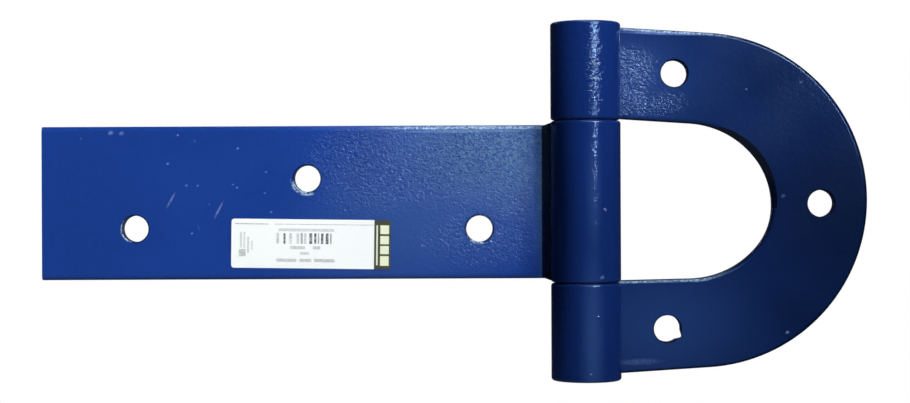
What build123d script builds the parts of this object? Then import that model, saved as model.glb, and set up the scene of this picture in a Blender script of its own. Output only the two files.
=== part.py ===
from build123d import *
import os
from math import cos, radians, sin, sqrt, tan

# A heavy gate hinge: a long flat strap and a horseshoe leaf, welded to the knuckles of one barrel.
# The hinge is drawn with X = 0 on the pin's axis, Z = 0 at the barrel's middle and Y = 0 on the
# back of both plates. The front faces -Y. FRAME_SHIFT then carries it to the frame of the files,
# whose origin is the centre of the bow hole on the horseshoe leaf's back face.

# Plates
PLATE_THICKNESS = 6.35
STRAP_EDGE_ROUND = 2.2
LEAF_EDGE_ROUND = 1.6
BACK_EDGE_BREAK = 0.5
HOLE_RIM_BREAK = 0.35

# Strap
STRAP_WIDTH = 63.5
STRAP_REACH = 224.4
STRAP_HOLE_DIAMETER = 10.9
STRAP_HOLE_FROM_PIN = 43.4
STRAP_HOLE_FROM_END = 38.6
STRAP_HOLE_HEIGHTS = (-11.1, 9.9, -10.6)

# Horseshoe leaf: the arm width is also the width of the bow
ARM_WIDTH = 37.2
ARM_TAPER = 3.6
LEAF_RISE = 0.4
BOW_CENTRE_X = 47.8
LEAF_HOLE_DIAMETER = 11.2
BOW_HOLE_INSET = 0.6
BOW_HOLE_DROP = 1.2
UPPER_HOLE_X = 37.4
LOWER_HOLE_X = 34.2
ARM_HOLE_OUTSET = 2.05

# Opening inside the horseshoe, which lets the strap swing through. Its arm edges slope apart
# towards the barrel. Its bow is cut by hand inside the true half round: (angle, shortfall).
STRAP_PASS_CLEARANCE = 0.45
UPPER_EDGE_SLOPE = 3.8
LOWER_EDGE_SLOPE = 1.2
BOW_CUT_START = 3.5
BOW_CUT = ((37.6, 2.7), (-6.2, 1.8), (-38.0, 1.5))

# Where the torch leaned over: a conical bevel that opens to the front, over this part of the bow
BEVEL_SHORTFALL = 0.2
BEVEL_DEPTH = 3.6
BEVEL_ANGLES = (-5.5, 75.0)

# Torn notch in the lower arm hole, as corners measured from the hole's centre
NOTCH = ((5.2, 0.6), (6.3, -3.1), (6.0, -3.9), (3.7, -4.4))
NOTCH_CORNER_ROUND = 0.4

# Barrel and pin
BARREL_DIAMETER = 28.6
MIDDLE_KNUCKLE_OVERHANG = 1.2
OUTER_KNUCKLE_OVERHANG = 1.25
KNUCKLE_GAP = 0.3
KNUCKLE_EDGE_ROUND = 1.2
BORE_CHAMFER = 0.6
PIN_DIAMETER = 15.9
PIN_CHAMFER = 0.8
PIN_RUNNING_CLEARANCE = 0.08
PIN_SEAT_CLEARANCE = 0.03
PIN_RECESS = 0.6

# Welds
STRAP_BEAD_LEG = 5.7
STRAP_BEAD_ANGLE = 8.0
STRAP_BEAD_OVERRUN = 0.6
LEAF_BEAD_LEG = 2.0
LEAF_BEAD_ANGLE = 23.0
BEAD_RISE = 0.35
BACK_BEAD_LIP = 0.4
PIN_WELD_GROOVE = 2.2
PIN_WELD_LAP = 1.4
PIN_WELD_CROWN = 0.35

# Paper label on the strap's front face, below the middle hole
LABEL_LENGTH = 65.9
LABEL_HEIGHT = 20.3
LABEL_THICKNESS = 0.15
LABEL_OFFSET = 1.5
LABEL_MARGIN = 4.5
LABEL_TILT = -0.87
LABEL_CORNER_RADIUS = 1.2

# Derived sizes and places
HALF_STRAP = STRAP_WIDTH / 2
BARREL_RADIUS = BARREL_DIAMETER / 2
BARREL_AXIS_Y = -BARREL_RADIUS
PIN_RADIUS = PIN_DIAMETER / 2
PLATE_END_X = sqrt(BARREL_RADIUS**2 - (BARREL_RADIUS - PLATE_THICKNESS) ** 2)
HALF_OPENING = HALF_STRAP + STRAP_PASS_CLEARANCE
BOW_RADIUS = HALF_OPENING + ARM_WIDTH
ARM_LEAN = radians(ARM_TAPER)
HALF_LEAF = BOW_RADIUS / cos(ARM_LEAN) + (BOW_CENTRE_X - PLATE_END_X) * tan(ARM_LEAN)
MIDDLE_KNUCKLE_LENGTH = STRAP_WIDTH + 2 * MIDDLE_KNUCKLE_OVERHANG
OUTER_KNUCKLE_START = MIDDLE_KNUCKLE_LENGTH / 2 + KNUCKLE_GAP
BARREL_HALF_LENGTH = HALF_LEAF + OUTER_KNUCKLE_OVERHANG
OUTER_KNUCKLE_LENGTH = BARREL_HALF_LENGTH - OUTER_KNUCKLE_START
PIN_HALF_LENGTH = BARREL_HALF_LENGTH - PIN_RECESS
STRAP_HOLE_XS = (
    -STRAP_HOLE_FROM_PIN,
    -(STRAP_HOLE_FROM_PIN + STRAP_REACH - STRAP_HOLE_FROM_END) / 2,
    STRAP_HOLE_FROM_END - STRAP_REACH,
)
ARM_HOLE_Z = HALF_OPENING + ARM_WIDTH / 2 + ARM_HOLE_OUTSET
UPPER_HOLE = (UPPER_HOLE_X, ARM_HOLE_Z)
LOWER_HOLE = (LOWER_HOLE_X, -ARM_HOLE_Z)
BOW_HOLE = (BOW_CENTRE_X + HALF_OPENING + ARM_WIDTH / 2 - BOW_HOLE_INSET, -BOW_HOLE_DROP)
LABEL_X = STRAP_HOLE_XS[1] + LABEL_OFFSET
LABEL_Z = LABEL_MARGIN + LABEL_HEIGHT / 2 - HALF_STRAP
FRAME_SHIFT = (-BOW_HOLE[0], 0, -BOW_HOLE[1])


def bolt_hole(place, diameter):
    """A round hole's cutter at a place (x, z) of a plate, with a broken rim on the front."""
    circle = Pos(place[0], place[1]) * Circle(diameter / 2)
    cutter = extrude(Plane.XZ * circle, amount=2 * PLATE_THICKNESS, both=True)
    rim = Cone(diameter / 2, diameter / 2 + 2 * HOLE_RIM_BREAK, 2 * HOLE_RIM_BREAK)
    return cutter + Pos(place[0], -PLATE_THICKNESS, place[1]) * Rot(90, 0, 0) * rim


def front_edges(plate):
    return plate.faces().sort_by(Axis.Y)[0].edges()


def back_edges(plate):
    return plate.faces().sort_by(Axis.Y)[-1].edges()


def strap():
    """A flat bar with softened long edges and three bolt holes set in a zigzag."""
    length = STRAP_REACH - PLATE_END_X
    middle_x = -(STRAP_REACH + PLATE_END_X) / 2
    outline = Pos(middle_x, 0) * Rectangle(length, STRAP_WIDTH)
    bar = extrude(Plane.XZ * outline, amount=PLATE_THICKNESS)
    bar = fillet(front_edges(bar).filter_by(Axis.X), STRAP_EDGE_ROUND)
    bar = chamfer(back_edges(bar).filter_by(Axis.X), BACK_EDGE_BREAK)
    for place in zip(STRAP_HOLE_XS, STRAP_HOLE_HEIGHTS):
        bar -= bolt_hole(place, STRAP_HOLE_DIAMETER)
    return bar


def horseshoe_outline():
    """The leaf's outer edge: two arms that close in slightly, tangent to a round bow."""
    tangent_x = BOW_CENTRE_X + BOW_RADIUS * sin(ARM_LEAN)
    tangent_z = BOW_RADIUS * cos(ARM_LEAN)
    upper_root = (PLATE_END_X, HALF_LEAF)
    lower_root = (PLATE_END_X, -HALF_LEAF)
    upper_tangent = (tangent_x, tangent_z)
    lower_tangent = (tangent_x, -tangent_z)
    tip = (BOW_CENTRE_X + BOW_RADIUS, 0)
    edges = [
        Line(upper_root, upper_tangent),
        ThreePointArc(upper_tangent, tip, lower_tangent),
        Line(lower_tangent, lower_root),
        Line(lower_root, upper_root),
    ]
    return Pos(0, LEAF_RISE) * make_face(edges)


def arm_edge_z(side, x):
    """The height of an arm's inner edge at a distance x from the pin."""
    slope = UPPER_EDGE_SLOPE if side > 0 else LOWER_EDGE_SLOPE
    run = BOW_CENTRE_X - BOW_CUT_START - x
    return side * (HALF_OPENING + run * tan(radians(slope)))


def bow_cut(start, stop):
    """The opening's hand-cut end, as tangent arcs from one arm's edge round to the other's."""
    heading = Vector(cos(radians(UPPER_EDGE_SLOPE)), -sin(radians(UPPER_EDGE_SLOPE)))
    stops = []
    for angle, shortfall in BOW_CUT:
        reach = HALF_OPENING - shortfall
        stops.append((BOW_CENTRE_X + reach * cos(radians(angle)), reach * sin(radians(angle))))
    arcs = []
    for point in (*stops, stop):
        arcs.append(TangentArc(start, point, tangent=heading))
        heading = arcs[-1] % 1
        start = point
    return arcs


def horseshoe_opening():
    """The gap between the arms, open towards the barrel."""
    mouth_x = PLATE_END_X - PLATE_THICKNESS
    cut_x = BOW_CENTRE_X - BOW_CUT_START
    upper_mouth = (mouth_x, arm_edge_z(1, mouth_x))
    lower_mouth = (mouth_x, arm_edge_z(-1, mouth_x))
    upper_start = (cut_x, arm_edge_z(1, cut_x))
    lower_start = (cut_x, arm_edge_z(-1, cut_x))
    edges = [
        Line(upper_mouth, upper_start),
        *bow_cut(upper_start, lower_start),
        Line(lower_start, lower_mouth),
        Line(lower_mouth, upper_mouth),
    ]
    return make_face(edges)


def torn_notch():
    """The ragged corner broken out of the lower arm hole."""
    hole_x, hole_z = LOWER_HOLE
    corners = [(hole_x + x, hole_z + z) for x, z in NOTCH]
    outline = make_face(Polyline((hole_x, hole_z), *corners, close=True))
    tips = outline.vertices().sort_by_distance((hole_x, hole_z, 0))[-2:]
    outline = fillet(tips, NOTCH_CORNER_ROUND)
    return extrude(Plane.XZ * outline, amount=2 * PLATE_THICKNESS, both=True)


def torch_bevel():
    """The cutter of the slanting stretch of the opening's wall, which ends in a small step."""
    mouth_radius = HALF_OPENING - BEVEL_SHORTFALL
    cone = Cone(mouth_radius - 2 * BEVEL_DEPTH, mouth_radius + BEVEL_DEPTH, 3 * PLATE_THICKNESS)
    cone = Pos(BOW_CENTRE_X, -PLATE_THICKNESS / 2, 0) * Rot(90, 0, 0) * cone
    start, stop = BEVEL_ANGLES
    corners = [(BOW_CENTRE_X, 0)]
    for angle in (start, (start + stop) / 2, stop):
        corners.append((BOW_CENTRE_X + BOW_RADIUS * cos(radians(angle)), BOW_RADIUS * sin(radians(angle))))
    sector = make_face(Polyline(*corners, close=True))
    return cone & extrude(Plane.XZ * sector, amount=2 * PLATE_THICKNESS, both=True)


def clear_of_roots(plate, edges):
    """These edges of the leaf, less those at the arms' roots, which the welds cover."""
    roots = plate.faces().sort_by(Axis.X)[:2].edges()
    return [edge for edge in edges if edge not in roots]


def horseshoe_leaf():
    """The flame-cut leaf: front edges well rounded, back edges just broken, three bolt holes."""
    plate = extrude(Plane.XZ * (horseshoe_outline() - horseshoe_opening()), amount=PLATE_THICKNESS)
    plate = fillet(clear_of_roots(plate, front_edges(plate)), LEAF_EDGE_ROUND)
    plate = chamfer(clear_of_roots(plate, back_edges(plate)), BACK_EDGE_BREAK)
    for place in (BOW_HOLE, UPPER_HOLE, LOWER_HOLE):
        plate -= bolt_hole(place, LEAF_HOLE_DIAMETER)
    return plate - torn_notch() - torch_bevel()


def tube(length, bore_radius):
    """A knuckle blank centred on the pin's axis, with rounded outer edges."""
    blank = Cylinder(BARREL_RADIUS, length)
    blank = fillet(blank.edges().filter_by(GeomType.CIRCLE), KNUCKLE_EDGE_ROUND)
    return blank - Cylinder(bore_radius, 2 * length)


def bore_mouth(radius, depth, end_z, outward):
    """The cutter of a 45 degree chamfer at one mouth of a bore."""
    cone = Cone(radius, radius + 2 * depth, 2 * depth)
    if outward < 0:
        cone = Rot(180, 0, 0) * cone
    return Pos(0, 0, end_z) * cone


def strap_knuckle():
    """The middle tube, which turns on the pin."""
    bore_radius = PIN_RADIUS + PIN_RUNNING_CLEARANCE
    half = MIDDLE_KNUCKLE_LENGTH / 2
    body = tube(MIDDLE_KNUCKLE_LENGTH, bore_radius)
    for side in (1, -1):
        body -= bore_mouth(bore_radius, BORE_CHAMFER, side * half, side)
    return Pos(0, BARREL_AXIS_Y, 0) * body


def outer_knuckle(side):
    """An end tube, fixed to the pin by the weld in its outer mouth."""
    bore_radius = PIN_RADIUS + PIN_SEAT_CLEARANCE
    half = OUTER_KNUCKLE_LENGTH / 2
    body = tube(OUTER_KNUCKLE_LENGTH, bore_radius)
    body -= bore_mouth(bore_radius, PIN_WELD_GROOVE, side * half, side)
    body -= bore_mouth(bore_radius, BORE_CHAMFER, -side * half, -side)
    return Pos(0, BARREL_AXIS_Y, side * (OUTER_KNUCKLE_START + half)) * body


def hinge_pin():
    pin = Cylinder(PIN_RADIUS, 2 * PIN_HALF_LENGTH)
    pin = chamfer(pin.edges().filter_by(GeomType.CIRCLE), PIN_CHAMFER)
    return Pos(0, BARREL_AXIS_Y, 0) * pin


def pin_weld(side):
    """The ring of weld that fills the groove between the pin's end and an outer knuckle."""
    mouth_radius = PIN_RADIUS + PIN_SEAT_CLEARANCE + PIN_WELD_GROOVE
    end_z = BARREL_HALF_LENGTH
    groove_z = end_z - PIN_WELD_GROOVE
    lap_radius = PIN_RADIUS - PIN_CHAMFER - PIN_WELD_LAP
    crown_middle = ((mouth_radius + lap_radius) / 2, end_z - PIN_RECESS / 2 + PIN_WELD_CROWN)
    edges = [
        Line((PIN_RADIUS, groove_z), (PIN_RADIUS + PIN_SEAT_CLEARANCE, groove_z)),
        Line((PIN_RADIUS + PIN_SEAT_CLEARANCE, groove_z), (mouth_radius, end_z)),
        ThreePointArc((mouth_radius, end_z), crown_middle, (lap_radius, PIN_HALF_LENGTH)),
        Line((lap_radius, PIN_HALF_LENGTH), (PIN_RADIUS - PIN_CHAMFER, PIN_HALF_LENGTH)),
        Line((PIN_RADIUS - PIN_CHAMFER, PIN_HALF_LENGTH), (PIN_RADIUS, PIN_HALF_LENGTH - PIN_CHAMFER)),
        Line((PIN_RADIUS, PIN_HALF_LENGTH - PIN_CHAMFER), (PIN_RADIUS, groove_z)),
    ]
    ring = revolve(Plane.XZ * make_face(edges), Axis.Z)
    if side < 0:
        ring = mirror(ring, about=Plane.XY)
    return Pos(0, BARREL_AXIS_Y, 0) * ring


def angle_behind(x, y):
    """How many degrees a point lies behind the pin's axis, seen along the pin."""
    return Vector(x, y - BARREL_AXIS_Y).get_angle(Vector(1, 0))


def barrel_point(angle, side):
    """The point of the barrel's outside at this angle behind the pin's axis."""
    turn = radians(angle)
    return (side * BARREL_RADIUS * cos(turn), BARREL_AXIS_Y + BARREL_RADIUS * sin(turn))


def front_bead(side, leg, barrel_angle, low, high):
    """A slightly crowned bead in the corner between a plate's front face and the barrel."""
    corner = (side * PLATE_END_X, -PLATE_THICKNESS)
    corner_angle = angle_behind(PLATE_END_X, -PLATE_THICKNESS)
    plate_toe = (side * (PLATE_END_X + leg), -PLATE_THICKNESS)
    barrel_toe = barrel_point(barrel_angle, side)
    barrel_middle = barrel_point((barrel_angle + corner_angle) / 2, side)
    chord = Vector(*barrel_toe) - Vector(*plate_toe)
    outward = Vector(-chord.Y, chord.X).normalized() * side
    crown = (Vector(*plate_toe) + Vector(*barrel_toe)) / 2 + outward * BEAD_RISE
    edges = [
        Line(corner, plate_toe),
        ThreePointArc(plate_toe, crown, barrel_toe),
        ThreePointArc(barrel_toe, barrel_middle, corner),
    ]
    return Pos(0, 0, low) * extrude(make_face(edges), amount=high - low)


def back_bead(side, low, high):
    """The bead behind a plate's end, dressed flush with the back faces."""
    lip_x = sqrt(BARREL_RADIUS**2 - (BARREL_RADIUS - BACK_BEAD_LIP) ** 2)
    flush_x = lip_x + BACK_BEAD_LIP
    corner_angle = angle_behind(PLATE_END_X, -PLATE_THICKNESS)
    lip_angle = angle_behind(lip_x, -BACK_BEAD_LIP)
    corner = (side * PLATE_END_X, -PLATE_THICKNESS)
    lip = (side * lip_x, -BACK_BEAD_LIP)
    middle = barrel_point((lip_angle + corner_angle) / 2, side)
    edges = [
        Line(corner, (side * PLATE_END_X, 0)),
        Line((side * PLATE_END_X, 0), (side * flush_x, 0)),
        Line((side * flush_x, 0), lip),
        ThreePointArc(lip, middle, corner),
    ]
    return Pos(0, 0, low) * extrude(make_face(edges), amount=high - low)


def strap_front_bead():
    """The strap's visible bead, which fills its rounded edges and slants out past both of them."""
    reach = HALF_STRAP + STRAP_BEAD_OVERRUN
    toe_x = PLATE_END_X + STRAP_BEAD_LEG
    toe_z = HALF_STRAP - STRAP_EDGE_ROUND / 4
    bead = front_bead(-1, STRAP_BEAD_LEG, STRAP_BEAD_ANGLE, -reach, reach)
    fill_place = (-PLATE_END_X - STRAP_BEAD_LEG / 2, STRAP_EDGE_ROUND / 2 - PLATE_THICKNESS, 0)
    fill = Pos(*fill_place) * Box(STRAP_BEAD_LEG, STRAP_EDGE_ROUND, STRAP_WIDTH)
    bead += fill - strap()
    corners = (
        (0, reach),
        (-BARREL_RADIUS, reach),
        (-toe_x, toe_z),
        (-toe_x, -toe_z),
        (-BARREL_RADIUS, -reach),
        (0, -reach),
    )
    plan = make_face(Polyline(*corners, close=True))
    return bead & extrude(Plane.XZ * plan, amount=BARREL_DIAMETER)


def strap_back_bead():
    reach = HALF_STRAP - BACK_EDGE_BREAK
    return back_bead(-1, -reach, reach)


def arm_span(side):
    """The lowest and highest point of a bead on an arm's root, inside the rounded edges."""
    inner = max(abs(arm_edge_z(side, PLATE_END_X)), OUTER_KNUCKLE_START) + LEAF_EDGE_ROUND
    outer = HALF_LEAF + side * LEAF_RISE - LEAF_EDGE_ROUND
    return (inner, outer) if side > 0 else (-outer, -inner)


def leaf_front_bead(side):
    return front_bead(1, LEAF_BEAD_LEG, LEAF_BEAD_ANGLE, *arm_span(side))


def leaf_back_bead(side):
    return back_bead(1, *arm_span(side))


def label():
    """A thin paper label, stuck on slightly askew; its left corners are round."""
    sheet = Rectangle(LABEL_LENGTH, LABEL_HEIGHT)
    sheet = fillet(sheet.vertices().group_by(Axis.X)[0], LABEL_CORNER_RADIUS)
    sheet = Pos(LABEL_X, LABEL_Z) * Rot(0, 0, LABEL_TILT) * sheet
    return Pos(0, -PLATE_THICKNESS, 0) * extrude(Plane.XZ * sheet, amount=LABEL_THICKNESS)


def save(name, shape):
    shape = Pos(*FRAME_SHIFT) * shape
    shape.label = name
    export_step(shape, f"parts/{name}.step")


def main():
    os.makedirs("parts", exist_ok=True)
    save("strap", strap())
    save("strap_knuckle", strap_knuckle())
    save("strap_weld_front", strap_front_bead())
    save("strap_weld_back", strap_back_bead())
    save("label", label())
    save("horseshoe_leaf", horseshoe_leaf())
    save("hinge_pin", hinge_pin())
    for end, side in (("upper", 1), ("lower", -1)):
        save(f"{end}_knuckle", outer_knuckle(side))
        save(f"{end}_weld_front", leaf_front_bead(side))
        save(f"{end}_weld_back", leaf_back_bead(side))
        save(f"{end}_pin_weld", pin_weld(side))


main()
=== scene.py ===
"""Looks of the gate hinge: enamel, weld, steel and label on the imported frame, in a plain studio."""

import math

import bpy
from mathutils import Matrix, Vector


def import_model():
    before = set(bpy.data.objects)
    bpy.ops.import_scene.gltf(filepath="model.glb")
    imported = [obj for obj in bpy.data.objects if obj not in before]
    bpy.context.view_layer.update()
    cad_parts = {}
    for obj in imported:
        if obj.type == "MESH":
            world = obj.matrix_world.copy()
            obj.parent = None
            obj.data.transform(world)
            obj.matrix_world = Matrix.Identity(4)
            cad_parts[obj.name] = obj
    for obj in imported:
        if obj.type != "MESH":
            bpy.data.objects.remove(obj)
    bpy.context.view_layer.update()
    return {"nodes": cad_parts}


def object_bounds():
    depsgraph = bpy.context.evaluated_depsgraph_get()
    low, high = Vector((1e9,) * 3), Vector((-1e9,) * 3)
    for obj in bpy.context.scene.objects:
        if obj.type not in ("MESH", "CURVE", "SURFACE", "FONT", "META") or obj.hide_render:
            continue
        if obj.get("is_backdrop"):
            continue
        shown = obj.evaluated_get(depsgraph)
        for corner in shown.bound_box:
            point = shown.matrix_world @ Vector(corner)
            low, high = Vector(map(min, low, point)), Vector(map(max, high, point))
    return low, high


MM = 0.001

# Colours, as sRGB bytes
STRAP_BLUE = (26, 59, 136)
# LEAF_BLUE and BARREL_BLUE are darker copies of the strap's blue, the one enamel of the whole hinge: painted
# shade
LEAF_BLUE = (18, 41, 92)
BARREL_BLUE = (15, 39, 96)
# The weld bead's near-black is painted shade; the bead wears the same blue enamel as the tubes
WELD_SHADE_BLUE = (2, 8, 22)
# Pale blue for real specks, scratches and dust, and for painted highlight lines along the top edges
WEAR_AND_HIGHLIGHT_BLUE = (130, 152, 205)
# Pale colours laid on the enamel as painted sheen and painted highlights
STRAP_SHEEN_COLOUR = (107, 142, 180)
LEAF_SHEEN_COLOUR = (72, 110, 190)
BARREL_HIGHLIGHT_COLOUR = (84, 118, 178)
# Pale colour for painted highlights on upper edges and hole rims
EDGE_HIGHLIGHT = (168, 190, 212)
DARK_STEEL = (74, 74, 76)
PAPER_WHITE = (254, 252, 248)
PRINT_GREY = (70, 72, 74)
BAND_OLIVE = (66, 68, 54)
BAND_CREAM = (240, 240, 205)
FLOOR_PALE = (192, 192, 190)
FLOOR_MIRRORED = (88, 88, 88)

# Colours of lamps, glows and the enamel's sheen, as linear shares
COOL = (0.72, 0.90, 1.0)
SKY = (0.56, 0.74, 1.0)
DAYLIGHT = (0.94, 0.98, 1.0)
WHITE = (1.0, 1.0, 1.0, 1.0)
ENAMEL_SHEEN = (0.62, 0.82, 1.0, 1.0)

# How light the enamel's tones are beside its plain colour. The last four are painted shade and painted light
CLOUD_SHADES = (0.94, 1.06)
MOTTLE_SHADE = 1.12
PAINTED_SHADE_FACTOR = 0.45
PAINTED_LIGHT_FACTOR = 3.0
CUT_SHADE = 0.2
BORE_SHADE = 0.15

# Roughness, as a range or as what is added to it
PLATE_GLOSS = (0.15, 0.22)
BARREL_GLOSS = (0.09, 0.14)
WELD_GLOSS = (0.22, 0.30)
STEEL_GLOSS = (0.22, 0.42)
PAPER_GLOSS = (0.38, 0.5)
SAWN_ENAMEL = 0.75
SAWN_WELD = 0.6
SAWN_STEEL = 0.5
TORN_WALL = 0.4

# Specular levels, and what the leaf's outer edge loses of the plain one
PLAIN_SHINE = 0.5
DULL_SHINE = 0.05
WELD_SHINE = 0.22
EDGE_SHINE_LOSS = 0.46

# Scales of the noises and cells, per metre
CLOUDS = 18.0
SMUDGES = 45.0
MOTTLE = 420.0
PEEL = 480.0
FINE_PEEL = 1500.0
BROAD_WORMS = 620.0
FINE_WORMS = 820.0
CHIPS = 900.0
EDGE_BREAKS = 1100.0
WEAR_BREAKS = 1400.0
DUST_CELLS = 170.0
TORCH_DRAG = 900.0
WELD_SMUDGES = 90.0
WELD_WANDER = 220.0
WELD_TONES = 260.0
WELD_LUMPS = 500.0
STEEL_GRAIN = 300.0
LATHE_LINES = 700.0
PAPER_CREASES = 60.0
PAPER_GRAIN = 900.0
INK_BREAKS = 1100.0

# Relief of the finishes: its depth, then heights as shares of it
ENAMEL_RELIEF = 0.35 * MM
WELD_RELIEF = 0.2 * MM
STEEL_RELIEF = 0.12 * MM
PAPER_RELIEF = 0.1 * MM
PLATE_PEEL = 0.16
BARREL_PEEL = 0.5
STRAP_WORM_HEIGHT = 5.5
LEAF_WORM_HEIGHT = 2.8
BARREL_WORM_HEIGHT = 0.9
TORN_HEIGHT = 1.2
WEAR_AND_HIGHLIGHT_HEIGHT = -0.12
FINE_PEEL_HEIGHT = 0.03
RIPPLE_HEIGHT = 0.25
LUMP_HEIGHT = 0.8

# Camera: square on to the plates, a little turned about its own line of sight
CAMERA_PLACE = (-0.1515, -0.7713, 0.0014)
CAMERA_ROLL_DEG = 0.236
CAMERA_LENS = 73.19
SENSOR_WIDTH = 36.0

# Studio: the floor in metres, its own glow, the room's light and the backdrop's share in mirrored rays
FLOOR_DROP = 0.14
FLOOR_RADIUS = 0.65
FLOOR_SIDES = 96
FLOOR_CENTRE_X = -0.15
FLOOR_FADE = (0.25, 0.60)
FLOOR_GLOW = 0.62
AMBIENT = 0.02
MIRRORED = 0.06
BACKDROP_REACH_DEG = 20

# Places on the hinge, in millimetres on the XZ plane, as (x, z)
STRAP_FAR_HOLE = (-283.8, -9.4)
STRAP_MIDDLE_HOLE = (-212.6, 11.1)
STRAP_NEAR_HOLE = (-141.4, -9.9)
BOW_HOLE = (0, 0)
UPPER_HOLE = (-60.6, 54.05)
LOWER_HOLE = (-63.8, -51.65)
BORE_RADIUS = 5.7
BARREL_MIDDLE_Z = 1.2
PIN_PAINT_FROM = 70.8
PIN_PAINT_FADE = 0.5
WELD_RIPPLE = 2.3

# The tables of marks below are in millimetres too. Their rows are:
# zones (COARSE, SHEEN ZONES, HIGHLIGHT ZONES, LIGHT ZONES, EDGE HIGHLIGHTS, SHADE ZONES, DULL): middle, turn
# in radians, half length, half width, strength
# SPECKS: middle, radius, strength; PIMPLES: middle, radius, rise; LINES: start, end, width, strength
# RIM HIGHLIGHTS: hole, radius, half width, side and reach in degrees, strength; BORE SHADE: hole, width of
# the fade

# The strap's marks
STRAP_COARSE = (
    ((-140.8, 24), 0.25, 60, 34, 1),
    ((-128, 10), 0.2, 36, 28, 0.6),
    ((-140, -14), 0, 52, 26, 0.25),
    ((-184, 18), 0.2, 50, 36, 0.4),
)
# Painted sheen towards the barrel; the last zone is painted light where the barrel's shadow falls on the
# strap's end
STRAP_SHEEN_ZONES = (
    ((-124, 27), 0, 78, 47, 0.47),
    ((-165, -6), 0.3, 75, 45, 0.15),
    ((-112.5, 18), 0, 9.5, 70, 0.9),
)
# Painted light: the strap's end lightened where the barrel's shadow falls
STRAP_LIGHT_ZONES = (
    ((-114, 14), 0, 9.2, 80, 1),
)
# Painted highlight along the strap's top rounded edge
STRAP_EDGE_HIGHLIGHTS = (
    ((-136, 32), 0, 54, 6, 1.3),
)
STRAP_SPECKS = (
    ((-270.2, 17.5), 0.6, 0.8),
    ((-262.5, 8.5), 0.6, 0.7),
    ((-257.8, 8.4), 0.5, 0.7),
    ((-243.3, 8.8), 0.5, 0.6),
    ((-241.6, 7.5), 0.5, 0.7),
    ((-241.2, 23.7), 0.6, 0.7),
    ((-266, 29.3), 0.5, 0.7),
    ((-260.3, -11.4), 0.6, 0.6),
    ((-227.6, -2.7), 0.6, 0.6),
    ((-229.6, 13.9), 0.5, 0.6),
    ((-230.1, 5.2), 0.5, 0.6),
    ((-165.1, -16.7), 0.6, 0.7),
    ((-182.3, -21.8), 0.5, 0.6),
    ((-293.8, 30.3), 1.2, 0.6),
    ((-289.3, 30.1), 1.1, 0.5),
)
STRAP_SCRATCHES_AND_HIGHLIGHTS = (
    # This first line, along the top rounded edge, is a painted highlight; the others are scratches
    ((-181, 30.3), (-112, 30.7), 1.8, 0.75),
    ((-266.6, 6.5), (-271.4, -1.8), 1.2, 0.55),
    ((-246.8, 2.9), (-251.6, -6.3), 1.3, 0.55),
    ((-258.3, -7), (-256.8, -11), 0.3, 0.35),
    ((-211.8, 21), (-207.3, 17.5), 0.3, 0.3),
)
# Painted highlights on the holes' rims
STRAP_RIM_HIGHLIGHTS = (
    (STRAP_FAR_HOLE, 5.8, 0.3, 200, 60, 0.9),
    (STRAP_MIDDLE_HOLE, 6.2, 0.9, 240, 60, 1),
    (STRAP_NEAR_HOLE, 5.8, 0.5, 258, 32, 1),
)
# Painted shade in and round the holes
STRAP_BORE_SHADE = (
    (STRAP_FAR_HOLE, 0.6),
    (STRAP_MIDDLE_HOLE, 0.8),
    (STRAP_NEAR_HOLE, 1.1),
)

# The leaf's marks
LEAF_COARSE = (
    ((-81.6, 54), 0.5, 18, 15, 1),
    ((-82.8, 43), -0.5, 21, 14, 0.9),
    ((-66.8, 41), 0.1, 18, 10, 0.45),
)
# Painted shade over the bow and the arms beside it
LEAF_SHADE_ZONES = (
    ((6, -4), 0, 62, 56, 0.75),
    ((-10, -44), -0.7, 30, 22, 0.45),
    ((-19, 50), -0.6, 30, 20, 0.4),
)
# Painted sheen beside the barrel, and painted light on the lower arm
LEAF_SHEEN_ZONES = (
    ((-80, 50), 0, 40, 32, 0.2),
    ((-66, -52), 0, 54, 36, 0.19),
)
# Painted highlights along the top rounded edge and the lower arm's upper edge
LEAF_EDGE_HIGHLIGHTS = (
    ((-68, 69), 0, 40, 6, 0.95),
    ((-62, -32.5), 0, 32, 5, 0.6),
)
LEAF_SPECKS = (
    ((-30.8, 47.4), 0.5, 0.6),
    ((-8.1, 50.2), 0.6, 0.7),
    ((-14.3, -53.3), 0.8, 0.9),
    ((-67.8, 59), 0.5, 0.6),
    ((-15.9, 3.2), 1, 0.3),
)
LEAF_SCRATCHES_AND_HIGHLIGHTS = (
    # This first line, along the top rounded edge, is a painted highlight; the others are scratches
    ((-88, 71.4), (-44, 69.8), 1.6, 0.65),
    ((-82.3, 58), (-73.8, 53.3), 0.7, 0.5),
    ((-71.3, 52), (-67.3, 49), 0.6, 0.4),
    ((-77.3, 46.4), (-73.8, 46.3), 0.5, 0.5),
    ((-86.8, -65.6), (-63.8, -64.8), 3.4, 0.22),
)
# Painted shade in and round the holes
LEAF_BORE_SHADE = (
    (BOW_HOLE, 0.4),
    (UPPER_HOLE, 0.6),
    (LOWER_HOLE, 0.5),
)

# The tubes' marks
BARREL_COARSE = (
    ((-95, 54), 0, 12, 34, 1),
)
# Painted shade on the tubes' side towards the strap
BARREL_SHADE_ZONES = (
    ((-111, 0), 0, 11, 90, 1.2),
)
BARREL_DULL = (
    ((-111.5, 0), 0, 9, 90, 1.5),
)
# Painted highlights down the lower and middle knuckles
BARREL_HIGHLIGHT_ZONES = (
    ((-96.5, -56), 0, 6.5, 55, 0.2),
    ((-95.8, 6), 0, 4.6, 44, 0.12),
)
BARREL_SPECKS = (
    ((-90.8, -2.4), 0.6, 0.5),
    ((-92.4, -29.4), 1, 0.4),
    ((-97.2, -68.2), 0.6, 0.5),
)
BARREL_PIMPLES = (
    ((-90.8, -2.4), 1.1, 1.6),
    ((-96.9, 58.3), 0.8, 0.8),
    ((-94.1, -45.5), 0.8, 0.7),
)

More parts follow.
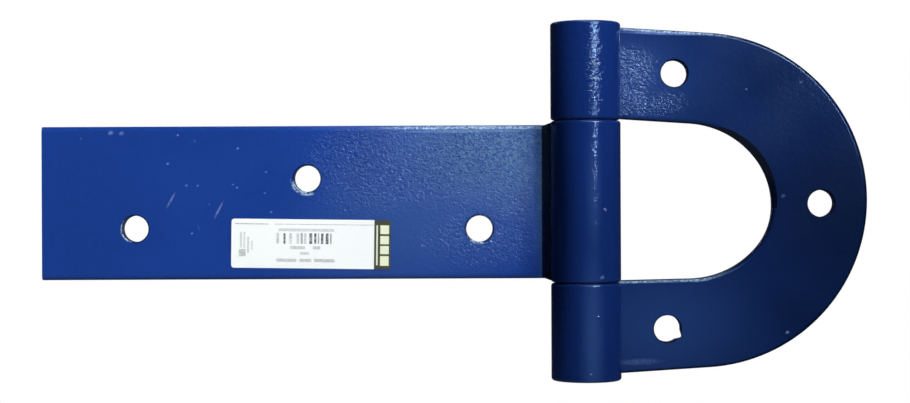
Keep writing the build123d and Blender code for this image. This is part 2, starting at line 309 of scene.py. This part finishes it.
# Specks are a little longer than wide and lie askew, by this angle in radians
SPECK_TURN = 0.4
SPECK_STRETCH = 1.35
SPECK_STRENGTH = 1.2

# The oval inside which a steep face of the leaf belongs to its opening: middle, turn, half length, half width
OPENING = ((-60, 0), 0, 52, 50)

# The label: its middle on the XZ plane, then boxes of left, right, bottom and top from that middle, in
# millimetres. A bar of print also has a strength
LABEL_CENTRE = (-211.1, -15.9)
LABEL_TILT_DEG = -0.87
LABEL_BARS = (
    (-31.5, -17.5, 7.9, 8.2, 0.85),
    (-15.0, 31.0, 7.9, 8.2, 0.55),
    (-13.5, 9.5, 5.1, 6.3, 0.35),
    (-14.3, -13.2, 0.0, 4.4, 0.45),
    (-11.4, -10.6, 0.0, 4.4, 1.0),
    (-9.0, -7.9, 0.0, 4.4, 0.4),
    (-6.0, -4.9, 0.0, 4.4, 0.4),
    (-4.3, -3.5, 0.0, 4.4, 0.9),
    (-3.0, -1.9, 0.0, 4.4, 0.4),
    (-0.7, 0.5, 0.0, 4.4, 1.0),
    (1.3, 2.2, 0.0, 4.4, 1.0),
    (2.8, 3.4, 0.0, 4.4, 0.7),
    (4.1, 5.1, 0.0, 4.4, 1.0),
    (6.1, 7.2, 0.0, 4.4, 1.0),
    (7.8, 8.5, 0.0, 4.4, 0.7),
    (-8.5, -2.5, -2.2, -0.9, 0.45),
    (0.8, 3.8, -2.2, -0.9, 0.45),
    (-4.5, -0.7, -4.6, -3.4, 0.35),
    (-14.3, -6.0, -7.5, -6.2, 0.45),
    (-4.8, 0.2, -7.5, -6.2, 0.45),
    (1.4, 9.8, -7.5, -6.2, 0.5),
    (-29.4, -28.6, -1.9, 4.7, 0.35),
    (-28.0, -27.2, -1.9, 4.7, 0.3),
    (-26.4, -25.6, -3.9, 2.6, 0.4),
    (-24.8, -24.1, -2.6, 1.0, 0.3),
    (-29.8, -27.0, -5.4, -2.4, 0.55),
)
PRINT_BLUR = 0.08
LABEL_BAND = (26.1, 33.3, -10.4, 10.4)
BAND_BLOCKS = (
    (28.6, 32.2, 4.4, 8.0),
    (28.6, 32.2, 0.2, 3.6),
    (28.6, 32.2, -3.9, -0.5),
    (28.6, 32.2, -8.7, -4.7),
    (27.0, 27.6, -8.5, 8.0),
)
BAND_BLUR = 0.1


def linear(colour):
    """An sRGB byte colour as linear values with an alpha of one."""
    values = []
    for byte in colour:
        share = byte / 255
        values.append(share / 12.92 if share <= 0.04045 else ((share + 0.055) / 1.055) ** 2.4)
    return (*values, 1.0)


def shade(colour, factor):
    """A linear colour made lighter or darker."""
    return (*[value * factor for value in colour[:3]], 1.0)


class Nodes:
    """A node tree, with one short method for each kind of node used here. Masks take millimetres."""

    def __init__(self, tree):
        self.nodes = tree.nodes
        self.links = tree.links
        self.nodes.clear()
        coordinates = self.nodes.new("ShaderNodeTexCoord")
        self.place = coordinates.outputs["Object"]
        self.facing = coordinates.outputs["Normal"]
        self.direction = coordinates.outputs["Generated"]

    def feed(self, socket, value):
        """Links a socket to another one, or sets it to a plain value."""
        if isinstance(value, bpy.types.NodeSocket):
            self.links.new(value, socket)
        else:
            socket.default_value = value

    def math(self, operation, a, b=0.0):
        node = self.nodes.new("ShaderNodeMath")
        node.operation = operation
        self.feed(node.inputs[0], a)
        self.feed(node.inputs[1], b)
        return node.outputs[0]

    def times(self, a, b):
        return self.math("MULTIPLY", a, b)

    def plus(self, a, b):
        return self.math("ADD", a, b)

    def outside(self, mask):
        """One less a mask."""
        return self.math("SUBTRACT", 1.0, mask)

    def vector(self, operation, a, b=(0, 0, 0)):
        node = self.nodes.new("ShaderNodeVectorMath")
        node.operation = operation
        self.feed(node.inputs[0], a)
        self.feed(node.inputs[1], b)
        return node.outputs["Value" if operation == "LENGTH" else "Vector"]

    def turn(self, vector, angle):
        """A vector turned about the Y axis."""
        node = self.nodes.new("ShaderNodeVectorRotate")
        node.rotation_type = "Y_AXIS"
        self.feed(node.inputs["Vector"], vector)
        node.inputs["Angle"].default_value = angle
        return node.outputs["Vector"]

    def noise(self, scale, detail=2.0, roughness=0.5, vector=None, distortion=0.0):
        node = self.nodes.new("ShaderNodeTexNoise")
        self.feed(node.inputs["Vector"], vector or self.place)
        node.inputs["Scale"].default_value = scale
        node.inputs["Detail"].default_value = detail
        node.inputs["Roughness"].default_value = roughness
        node.inputs["Distortion"].default_value = distortion
        return node.outputs[0]

    def cells(self, scale):
        """Distance to the nearest cell's centre, and that cell's own random colour."""
        node = self.nodes.new("ShaderNodeTexVoronoi")
        self.feed(node.inputs["Vector"], self.place)
        node.inputs["Scale"].default_value = scale
        return node.outputs["Distance"], node.outputs["Color"]

    def between(self, value, low, high, to_low=0.0, to_high=1.0):
        """Maps low..high smoothly to to_low..to_high, held outside."""
        node = self.nodes.new("ShaderNodeMapRange")
        node.interpolation_type = "SMOOTHSTEP"
        self.feed(node.inputs[0], value)
        for i, number in enumerate((low, high, to_low, to_high), start=1):
            node.inputs[i].default_value = number
        return node.outputs[0]

    def mix(self, factor, a, b):
        """A mix of two colours."""
        node = self.nodes.new("ShaderNodeMix")
        node.data_type = "RGBA"
        self.feed(node.inputs["Factor"], factor)
        self.feed(node.inputs["A"], a)
        self.feed(node.inputs["B"], b)
        return node.outputs["Result"]

    def blend(self, factor, a, b):
        """A mix of two shaders."""
        node = self.nodes.new("ShaderNodeMixShader")
        for i, value in enumerate((factor, a, b)):
            self.feed(node.inputs[i], value)
        return node.outputs[0]

    def lit(self, kind, strength):
        """A white shader of a kind that gives light."""
        node = self.nodes.new(kind)
        node.inputs["Color"].default_value = WHITE
        node.inputs["Strength"].default_value = strength
        return node.outputs[0]

    def parts(self, vector):
        """The X, Y and Z of a vector, or a colour's red, green and blue."""
        node = self.nodes.new("ShaderNodeSeparateXYZ")
        self.feed(node.inputs[0], vector)
        return node.outputs

    def slope(self, axis):
        """How squarely a face looks along an axis, either way, from 0 to 1."""
        return self.math("ABSOLUTE", self.parts(self.facing)["XYZ".index(axis)])

    def bump(self, height, distance):
        node = self.nodes.new("ShaderNodeBump")
        self.feed(node.inputs["Height"], height)
        node.inputs["Distance"].default_value = distance
        return node.outputs["Normal"]

    def away(self, centre):
        """The way from a place on the XZ plane to the point that is shaded."""
        return self.vector("SUBTRACT", self.place, (centre[0] * MM, 0, centre[1] * MM))

    def distance(self, centre):
        """The distance from a place on the XZ plane."""
        return self.vector("LENGTH", self.vector("MULTIPLY", self.away(centre), (1, 0, 1)))

    def blob(self, centre, angle, half_length, half_width, soft=0.0):
        """A mask that is one inside an ellipse on the XZ plane and fades out to its rim."""
        turned = self.turn(self.away(centre), angle)
        scaled = self.vector("MULTIPLY", turned, (1 / (half_length * MM), 0, 1 / (half_width * MM)))
        return self.between(self.vector("LENGTH", scaled), soft, 1.0, 1.0, 0.0)

    def line(self, start, end, width):
        """A mask over a straight mark between two places on the XZ plane."""
        run, rise = end[0] - start[0], end[1] - start[1]
        middle = ((start[0] + end[0]) / 2, (start[1] + end[1]) / 2)
        return self.blob(middle, math.atan2(rise, run), math.hypot(run, rise) / 2, width / 2, soft=0.3)

    def stripe(self, value, low, high, soft):
        """A mask that is one where a value in metres lies between two limits in millimetres."""
        from_low = self.between(value, (low - soft) * MM, (low + soft) * MM)
        to_high = self.between(value, (high - soft) * MM, (high + soft) * MM, 1.0, 0.0)
        return self.times(from_low, to_high)

    def bar(self, across, up, box, soft):
        """A mask that is one inside a box of left, right, bottom and top."""
        left, right, bottom, top = box
        return self.times(self.stripe(across, left, right, soft), self.stripe(up, bottom, top, soft))

    def crescent(self, centre, radius, width, side, reach):
        """A mask over part of a ring round a hole, strongest on one side, with both angles in degrees."""
        stripe = self.stripe(self.distance(centre), radius - width, radius + width, width / 2)
        towards = self.parts(self.turn(self.away(centre), math.radians(side)))[0]
        low, high = (radius * MM * math.cos(math.radians(angle)) for angle in (reach, reach / 2))
        return self.times(self.times(stripe, stripe), self.between(towards, low, high))

    def greatest(self, masks):
        total = masks[0]
        for mask in masks[1:]:
            total = self.math("MAXIMUM", total, mask)
        return total

    def front(self, mask):
        """The part of a mask that lies on faces turned to the front."""
        return self.times(mask, self.between(self.parts(self.facing)[1], -0.05, 0.05, 1.0, 0.0))

    def zones(self, spots, soft=0.0):
        """A mask over some ovals on the front faces, each as strong as its last number."""
        masks = []
        for centre, angle, half_length, half_width, strength in spots:
            masks.append(self.times(self.blob(centre, angle, half_length, half_width, soft), strength))
        return self.front(self.greatest(masks))

    def upper_rounded_edges(self):
        """A mask over the rounded edges that face upwards."""
        forward = self.slope("Y")
        rounded = self.times(self.between(forward, 0.99, 0.93), self.between(forward, 0.5, 0.72))
        return self.times(rounded, self.between(self.parts(self.facing)[2], 0.05, 0.2))

    def sawn_ends(self):
        """A mask over faces that look straight up or down, which were sawn and sprayed thin."""
        return self.between(self.slope("Z"), 0.85, 0.97)

    def seen_rays(self):
        """One for camera and transmission rays, and the mirrored share for glossy rays."""
        path = self.nodes.new("ShaderNodeLightPath").outputs
        mirrored = self.times(path["Is Glossy Ray"], MIRRORED)
        return self.greatest([path["Is Camera Ray"], mirrored, path["Is Transmission Ray"]])


class Finish(Nodes):
    """A material with one Principled shader."""

    def __init__(self, name):
        self.material = bpy.data.materials.new(name)
        self.material.use_nodes = True
        super().__init__(self.material.node_tree)
        output = self.nodes.new("ShaderNodeOutputMaterial")
        self.shader = self.nodes.new("ShaderNodeBsdfPrincipled")
        self.links.new(self.shader.outputs["BSDF"], output.inputs["Surface"])

    def give(self, socket, value):
        """Links or sets one of the shader's own sockets."""
        self.feed(self.shader.inputs[socket], value)


class Enamel(Finish):
    """Sprayed gloss enamel: a plain coat, on which each method lays one kind of mark."""

    def __init__(self, name, colour, gloss=PLATE_GLOSS, peel=PLATE_PEEL, worms=FINE_WORMS):
        super().__init__(name)
        self.base = linear(colour)
        darker, lighter = (shade(self.base, factor) for factor in CLOUD_SHADES)
        clouds = self.between(self.noise(CLOUDS, detail=3.0), 0.35, 0.65)
        self.tone = self.mix(clouds, darker, lighter)
        mottle = self.between(self.noise(MOTTLE), 0.3, 0.7, 0.0, 0.35)
        self.cover(mottle, shade(self.base, MOTTLE_SHADE))
        smudges = self.noise(SMUDGES, detail=4.0, roughness=0.6)
        self.roughness = self.between(smudges, 0.3, 0.75, *gloss)
        self.roughen(self.sawn_ends(), SAWN_ENAMEL)
        self.height = self.times(self.noise(PEEL, detail=2.5, roughness=0.55), peel)
        self.emboss(self.noise(FINE_PEEL, detail=1.0), FINE_PEEL_HEIGHT)
        stretched = self.vector("MULTIPLY", self.place, (0.85, 1.0, 1.2))
        self.worms = self.noise(worms, detail=2.5, roughness=0.6, vector=stretched, distortion=0.9)

    def cover(self, mask, colour):
        self.tone = self.mix(mask, self.tone, colour)

    def roughen(self, mask, amount):
        self.roughness = self.plus(self.roughness, self.times(mask, amount))

    def emboss(self, mask, amount):
        self.height = self.plus(self.height, self.times(mask, amount))

    def shift(self, spots, factor):
        """Painted shade or painted light: the colour made darker or lighter in some zones."""
        self.cover(self.zones(spots), shade(self.base, factor))

    def coarsen(self, spots, amount):
        """Orange peel that stands up in short worms in some zones."""
        self.emboss(self.times(self.worms, self.zones(spots)), amount)

    def paint_sheen(self, spots, colour, coarse):
        """Painted sheen: a pale colour in some zones in place of glossy reflection, broken up by the worms
        into painted glints where the peel is coarse.
        """
        swing = self.times(self.between(self.worms, 0.42, 0.60, -0.5, 0.75), self.zones(coarse))
        self.cover(self.times(self.zones(spots), self.plus(swing, 1.0)), linear(colour))

    def wear_and_highlight_lines(self, specks, lines=()):
        """Pale specks and scratches, a little below the coat, and painted highlight lines along top edges."""
        masks = []
        for centre, size, strength in specks:
            speck = self.blob(centre, SPECK_TURN, size * SPECK_STRETCH, size, soft=0.1)
            masks.append(self.times(speck, strength * SPECK_STRENGTH))
        for start, end, width, strength in lines:
            masks.append(self.times(self.line(start, end, width), strength))
        worn_and_highlit = self.front(self.greatest(masks))
        broken = self.between(self.noise(WEAR_BREAKS), 0.32, 0.55, 0.25, 1.0)
        self.cover(self.times(worn_and_highlit, broken), linear(WEAR_AND_HIGHLIGHT_BLUE))
        self.emboss(worn_and_highlit, WEAR_AND_HIGHLIGHT_HEIGHT)

    def pimple(self, spots):
        """Drops that dried on the coat."""
        for centre, size, rise in spots:
            self.emboss(self.blob(centre, 0.0, size, size), rise)

    def paint_rim_highlights(self, rims):
        """Painted highlights: pale crescents on one side of the holes' rims."""
        for centre, radius, width, side, reach, strength in rims:
            broken = self.between(self.noise(CHIPS), 0.36, 0.56, 0.1, strength)
            mask = self.times(self.crescent(centre, radius, width, side, reach), broken)
            self.cover(self.front(mask), linear(EDGE_HIGHLIGHT))

    def paint_bore_shade(self, bores):
        """Painted shade: the holes' walls made dark, fading out over the rims."""
        for centre, fade in bores:
            wall = self.between(self.distance(centre), BORE_RADIUS * MM, (BORE_RADIUS + fade) * MM, 0.75, 0.0)
            self.cover(wall, shade(self.base, BORE_SHADE))

    def paint_edge_highlights(self, spots):
        """Painted highlight: pale colour on the upper rounded edges in some zones."""
        broken = self.between(self.noise(EDGE_BREAKS, detail=3.0), 0.38, 0.62, 0.15, 1.0)
        # thin is the mask of this painted highlight
        thin = self.times(self.upper_rounded_edges(), self.zones(spots, soft=0.4))
        self.cover(self.times(thin, broken), linear(EDGE_HIGHLIGHT))

    def cut_wall_and_shade(self):
        """Painted shade on the opening's torn wall and on the outer edge's rounding, which is also duller."""
        forward = self.slope("Y")
        inner = self.blob(*OPENING, soft=0.9)
        outer = self.outside(inner)
        cut = self.times(self.between(forward, 0.3, 0.985, 0.85, 0.0), inner)
        rounding = self.times(self.between(forward, 0.8, 0.985, 0.7, 0.0), self.between(forward, 0.3, 0.6))
        dark = self.plus(cut, self.front(self.times(rounding, outer)))
        self.cover(dark, shade(self.base, CUT_SHADE))
        wall = self.between(forward, 0.05, 0.7, 1.0, 0.0)
        self.roughen(wall, TORN_WALL)
        drag = self.noise(TORCH_DRAG, vector=self.vector("MULTIPLY", self.place, (1.0, 0.06, 1.0)))
        self.emboss(self.times(drag, wall), TORN_HEIGHT)
        loss = self.times(self.between(forward, 0.93, 0.997, EDGE_SHINE_LOSS, 0.0), outer)
        self.give("Specular IOR Level", self.math("SUBTRACT", PLAIN_SHINE, self.front(loss)))

    def dull(self, spots):
        """Zones with hardly any shine."""
        self.give("Specular IOR Level", self.between(self.zones(spots), 0.0, 1.0, PLAIN_SHINE, DULL_SHINE))

    def finished(self):
        """The material, with a little dust over all its marks."""
        distance, cell = self.cells(DUST_CELLS)
        rare = self.math("GREATER_THAN", self.parts(cell)[0], 0.95)
        dust = self.times(rare, self.between(distance, 0.04, 0.09, 1.0, 0.0))
        self.cover(self.times(dust, 0.25), linear(WEAR_AND_HIGHLIGHT_BLUE))
        self.give("Base Color", self.tone)
        self.give("Specular Tint", ENAMEL_SHEEN)
        self.give("Roughness", self.roughness)
        self.give("Normal", self.bump(self.height, ENAMEL_RELIEF))
        return self.material


def strap_enamel():
    """The strap's coat: painted sheen, painted light and coarse peel towards the barrel, painted highlights
    under its holes.
    """
    coat = Enamel("strap_enamel", STRAP_BLUE)
    coat.shift(STRAP_LIGHT_ZONES, PAINTED_LIGHT_FACTOR)
    coat.wear_and_highlight_lines(STRAP_SPECKS, STRAP_SCRATCHES_AND_HIGHLIGHTS)
    coat.paint_sheen(STRAP_SHEEN_ZONES, STRAP_SHEEN_COLOUR, STRAP_COARSE)
    coat.coarsen(STRAP_COARSE, STRAP_WORM_HEIGHT)
    coat.paint_bore_shade(STRAP_BORE_SHADE)
    coat.paint_rim_highlights(STRAP_RIM_HIGHLIGHTS)
    coat.paint_edge_highlights(STRAP_EDGE_HIGHLIGHTS)
    return coat.finished()


def leaf_enamel():
    """The leaf's coat: painted shade towards the bow, painted sheen and coarse peel beside the barrel, torn
    and painted dark where it was cut.
    """
    coat = Enamel("leaf_enamel", LEAF_BLUE, worms=BROAD_WORMS)
    coat.shift(LEAF_SHADE_ZONES, PAINTED_SHADE_FACTOR)
    coat.wear_and_highlight_lines(LEAF_SPECKS, LEAF_SCRATCHES_AND_HIGHLIGHTS)
    coat.paint_sheen(LEAF_SHEEN_ZONES, LEAF_SHEEN_COLOUR, LEAF_COARSE)
    coat.coarsen(LEAF_COARSE, LEAF_WORM_HEIGHT)
    coat.cut_wall_and_shade()
    coat.paint_bore_shade(LEAF_BORE_SHADE)
    coat.paint_edge_highlights(LEAF_EDGE_HIGHLIGHTS)
    return coat.finished()


def barrel_enamel():
    """The tubes' coat: glossier, with stronger peel, painted shade and dull along the strap's side, painted
    highlights down its front.
    """
    coat = Enamel("barrel_enamel", BARREL_BLUE, gloss=BARREL_GLOSS, peel=BARREL_PEEL, worms=BROAD_WORMS)
    coat.shift(BARREL_SHADE_ZONES, PAINTED_SHADE_FACTOR)
    coat.wear_and_highlight_lines(BARREL_SPECKS)
    coat.paint_sheen(BARREL_HIGHLIGHT_ZONES, BARREL_HIGHLIGHT_COLOUR, BARREL_COARSE)
    coat.coarsen(BARREL_COARSE, BARREL_WORM_HEIGHT)
    coat.pimple(BARREL_PIMPLES)
    coat.dull(BARREL_DULL)
    return coat.finished()


def weld():
    """Enamel over weld bead, its near-black front painted shade: uneven tone and ripples one after another,
    with the back dressed flat.
    """
    coat = Finish("weld_enamel")
    base = linear(WELD_SHADE_BLUE)
    tone = coat.mix(coat.noise(WELD_TONES, detail=3.0), shade(base, 0.75), shade(base, 1.2))
    dressed = coat.between(coat.parts(coat.facing)[1], 0.3, 0.8)
    coat.give("Base Color", coat.mix(dressed, tone, shade(linear(BARREL_BLUE), 0.8)))
    coat.give("Specular IOR Level", WELD_SHINE)
    smudges = coat.between(coat.noise(WELD_SMUDGES, detail=3.0), 0.3, 0.7, *WELD_GLOSS)
    coat.give("Roughness", coat.plus(smudges, coat.times(coat.sawn_ends(), SAWN_WELD)))
    wander = coat.times(coat.noise(WELD_WANDER, detail=1.0), 2.5)
    along = coat.times(coat.parts(coat.place)[2], 2 * math.pi / (WELD_RIPPLE * MM))
    ripple = coat.times(coat.math("SINE", coat.plus(along, wander)), coat.outside(dressed))
    height = coat.plus(coat.times(ripple, RIPPLE_HEIGHT), coat.times(coat.noise(WELD_LUMPS), LUMP_HEIGHT))
    coat.give("Normal", coat.bump(height, WELD_RELIEF))
    return coat.material


def paper():
    """The label: white paper with a few plain grey bars, and a dark band with pale blocks at one end."""
    coat = Finish("label_paper")
    laid = coat.parts(coat.turn(coat.away(LABEL_CENTRE), math.radians(LABEL_TILT_DEG)))
    across, up = laid[0], laid[2]
    grain = coat.noise(PAPER_GRAIN, detail=3.0)
    white = linear(PAPER_WHITE)
    tone = coat.mix(grain, white, shade(white, 0.97))
    ink = coat.between(coat.noise(INK_BREAKS), 0.3, 0.6, 0.55, 1.0)
    for *box, strength in LABEL_BARS:
        printed = coat.times(coat.times(coat.bar(across, up, box, PRINT_BLUR), ink), strength)
        tone = coat.mix(printed, tone, linear(PRINT_GREY))
    tone = coat.mix(coat.bar(across, up, LABEL_BAND, BAND_BLUR), tone, linear(BAND_OLIVE))
    for box in BAND_BLOCKS:
        tone = coat.mix(coat.bar(across, up, box, BAND_BLUR), tone, linear(BAND_CREAM))
    coat.give("Base Color", tone)
    coat.give("Roughness", coat.between(grain, 0.3, 0.7, *PAPER_GLOSS))
    height = coat.plus(coat.noise(PAPER_CREASES), coat.times(grain, 0.05))
    coat.give("Normal", coat.bump(height, PAPER_RELIEF))
    return coat.material


def steel():
    """The pin: bare turned steel inside the barrel, enamelled over at both ends."""
    coat = Finish("pin_steel")
    grain = coat.noise(STEEL_GRAIN, detail=3.0)
    lathed = coat.noise(LATHE_LINES, vector=coat.vector("MULTIPLY", coat.place, (0.1, 0.1, 1.0)))
    out = coat.math("ABSOLUTE", coat.math("SUBTRACT", coat.parts(coat.place)[2], BARREL_MIDDLE_Z * MM))
    painted = coat.between(out, PIN_PAINT_FROM * MM, (PIN_PAINT_FROM + PIN_PAINT_FADE) * MM)
    metal = coat.mix(grain, linear(DARK_STEEL), shade(linear(DARK_STEEL), 0.6))
    paint = coat.mix(grain, linear(BARREL_BLUE), shade(linear(BARREL_BLUE), 0.75))
    coat.give("Base Color", coat.mix(painted, metal, paint))
    coat.give("Metallic", coat.outside(painted))
    gloss = coat.between(grain, 0.3, 0.7, *STEEL_GLOSS)
    coat.give("Roughness", coat.plus(gloss, coat.times(coat.sawn_ends(), SAWN_STEEL)))
    height = coat.plus(coat.times(lathed, 0.4), coat.times(grain, 0.6))
    coat.give("Normal", coat.bump(height, STEEL_RELIEF))
    return coat.material


def disc(name, radius, centre_x, height):
    """A flat round sheet as one face."""
    mesh = bpy.data.meshes.new(name)
    corners = []
    for i in range(FLOOR_SIDES):
        angle = 2 * math.pi * i / FLOOR_SIDES
        corners.append((centre_x + radius * math.cos(angle), radius * math.sin(angle), height))
    mesh.from_pydata(corners, [], [range(FLOOR_SIDES)])
    thing = bpy.data.objects.new(name, mesh)
    bpy.context.scene.collection.objects.link(thing)
    return thing


def floor(height):
    """A pale floor that keeps the shadow in the middle and melts into the white backdrop round it."""
    thing = disc("floor", FLOOR_RADIUS, FLOOR_CENTRE_X, height)
    material = bpy.data.materials.new("floor")
    material.use_nodes = True
    tree = Nodes(material.node_tree)
    path = tree.nodes.new("ShaderNodeLightPath").outputs
    colour = tree.mix(path["Is Glossy Ray"], linear(FLOOR_PALE), linear(FLOOR_MIRRORED))
    plain = tree.nodes.new("ShaderNodeBsdfDiffuse")
    tree.feed(plain.inputs["Color"], colour)
    glowing = tree.nodes.new("ShaderNodeAddShader")
    tree.feed(glowing.inputs[0], plain.outputs[0])
    tree.feed(glowing.inputs[1], tree.lit("ShaderNodeEmission", FLOOR_GLOW))
    from_middle = tree.vector("SUBTRACT", tree.place, (FLOOR_CENTRE_X, 0.0, height))
    rim = tree.between(tree.vector("LENGTH", from_middle), *FLOOR_FADE)
    seen = tree.blend(rim, glowing.outputs[0], tree.lit("ShaderNodeEmission", 1.0))
    output = tree.nodes.new("ShaderNodeOutputMaterial")
    tree.feed(output.inputs["Surface"], tree.blend(tree.seen_rays(), plain.outputs[0], seen))
    thing.data.materials.append(material)
    thing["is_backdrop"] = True


def world():
    """A dim room with a white backdrop: whole to the camera, and a small share of it in mirrored rays."""
    made = bpy.data.worlds.new("room")
    bpy.context.scene.world = made
    made.use_nodes = True
    tree = Nodes(made.node_tree)
    reach = math.cos(math.radians(BACKDROP_REACH_DEG))
    behind = tree.math("GREATER_THAN", tree.parts(tree.direction)["Y"], reach)
    path = tree.nodes.new("ShaderNodeLightPath").outputs
    seen = tree.math("MAXIMUM", tree.times(tree.seen_rays(), behind), path["Is Camera Ray"])
    dim = tree.lit("ShaderNodeBackground", AMBIENT)
    white = tree.lit("ShaderNodeBackground", 1.0)
    output = tree.nodes.new("ShaderNodeOutputWorld")
    tree.feed(output.inputs["Surface"], tree.blend(seen, dim, white))


def softbox(name, place, target, size, power, spread, colour=(1.0, 1.0, 1.0), mirrored=True):
    """A rectangular lamp that faces a target and isn't seen by the camera."""
    light = bpy.data.lights.new(name, "AREA")
    light.shape = "RECTANGLE"
    light.size, light.size_y = size
    light.energy = power
    light.spread = math.radians(spread)
    light.color = colour
    lamp = bpy.data.objects.new(name, light)
    lamp.location = place
    lamp.rotation_mode = "QUATERNION"
    lamp.rotation_quaternion = (Vector(target) - Vector(place)).to_track_quat("-Z", "Y")
    lamp.visible_camera = False
    lamp.visible_glossy = mirrored
    bpy.context.scene.collection.objects.link(lamp)


def lights():
    """The key from the upper right, a narrow strip for the upper tube, two lamps above and two behind."""
    softbox(
        "key",
        place=(0.20, -0.64, 0.40),
        target=(-0.60, 0.0, -0.08),
        size=(0.46, 0.16),
        power=2.00,
        spread=70.0,
        colour=DAYLIGHT,
    )
    softbox(
        "strip",
        place=(0.302, -0.778, 0.205),
        target=(-0.0975, -0.0143, 0.12),
        size=(0.06, 0.20),
        power=0.052,
        spread=20.0,
        colour=SKY,
    )
    softbox(
        "top",
        place=(-0.085, -0.04, 0.55),
        target=(-0.085, -0.01, 0.0),
        size=(0.27, 0.20),
        power=1.1,
        spread=180.0,
        colour=COOL,
    )
    softbox(
        "top_front",
        place=(-0.10, -0.47, 0.37),
        target=(-0.13, 0.0, 0.03),
        size=(0.20, 0.10),
        power=0.12,
        spread=90.0,
        colour=COOL,
    )
    softbox(
        "back",
        place=(-0.30, 0.85, 0.12),
        target=(-0.15, 0.0, 0.0),
        size=(0.50, 0.35),
        power=0.95,
        spread=44.0,
        mirrored=False,
    )
    softbox(
        "back_gloss",
        place=(-0.75, 0.55, 0.55),
        target=(-0.15, 0.0, 0.0),
        size=(0.30, 0.30),
        power=0.020,
        spread=40.0,
    )


def camera():
    """The photo's view: straight on to the plates."""
    data = bpy.data.cameras.new("camera")
    data.lens = CAMERA_LENS
    data.sensor_width = SENSOR_WIDTH
    eye = bpy.data.objects.new("camera", data)
    eye.location = CAMERA_PLACE
    eye.rotation_euler = (math.radians(90), math.radians(CAMERA_ROLL_DEG), 0.0)
    bpy.context.scene.collection.objects.link(eye)
    bpy.context.scene.camera = eye


def dress(nodes):
    """Gives each carried-over node its finish. What isn't named here is a weld bead."""
    strap, leaf, barrel = strap_enamel(), leaf_enamel(), barrel_enamel()
    bead = weld()
    finishes = {
        "strap": strap,
        "horseshoe_leaf": leaf,
        "strap_knuckle": barrel,
        "upper_knuckle": barrel,
        "lower_knuckle": barrel,
        "label": paper(),
        "hinge_pin": steel(),
    }
    for name, node in nodes.items():
        node.data.materials.clear()
        node.data.materials.append(finishes.get(name, bead))


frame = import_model()

dress(frame["nodes"])
floor(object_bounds()[0].z - FLOOR_DROP)
world()
lights()
camera()
bpy.context.scene.view_settings.view_transform = "Standard"
